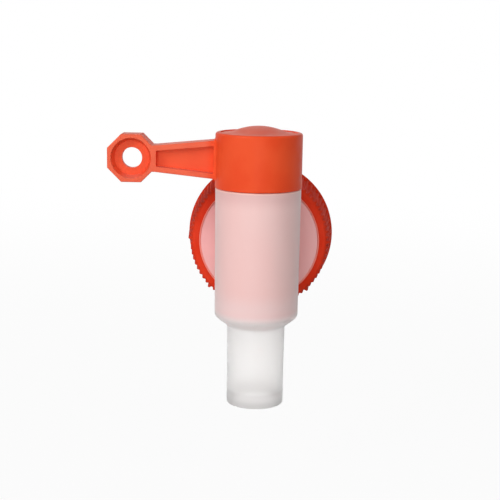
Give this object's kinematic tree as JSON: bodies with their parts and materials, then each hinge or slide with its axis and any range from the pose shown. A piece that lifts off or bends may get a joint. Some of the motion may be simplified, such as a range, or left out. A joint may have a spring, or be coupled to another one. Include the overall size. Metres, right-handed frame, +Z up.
{
  "type": "jerrycan tap",
  "caption": "Quarter-turn plastic tap with a straight spout, a lever with an octagonal eye, and a ribbed screw collar that clamps it on a jerrycan's neck.",
  "frame": {"origin": "middle of the can's mouth on the neck's axis, in the plane of the gasket's face", "axes": "+Y along the neck into the can, +Z up the barrel towards the cap, and the closed lever points to -X"},
  "size_m": [0.1089, 0.0773, 0.1349],
  "materials": {
    "natural_plastic": "unpigmented translucent polyethylene, satin",
    "foam_gasket": "closed-cell foam, off-white",
    "orange_plastic": "moulded plastic, soft gloss",
    "seal_rubber": "silicone, milky",
    "red_plastic": "moulded plastic, soft gloss"
  },
  "bodies": {
    "body": {"tap_body": "natural_plastic", "flange_gasket": "foam_gasket"},
    "plug": {"plug_lever": "orange_plastic", "plug_o_ring": "seal_rubber"},
    "collar": {"screw_collar": "red_plastic"}
  },
  "joints": [
    {"name": "lever_turn", "type": "hinge", "parent": "body", "child": "plug", "pos_m": [0, -0.0355, 0.0442], "axis": [0, 0, 1], "range_deg": [0, 90]},
    {"name": "collar_spin", "type": "hinge", "parent": "body", "child": "collar", "pos_m": [0, 0, 0], "axis": [0, 1, 0], "continuous": true}
  ]
}
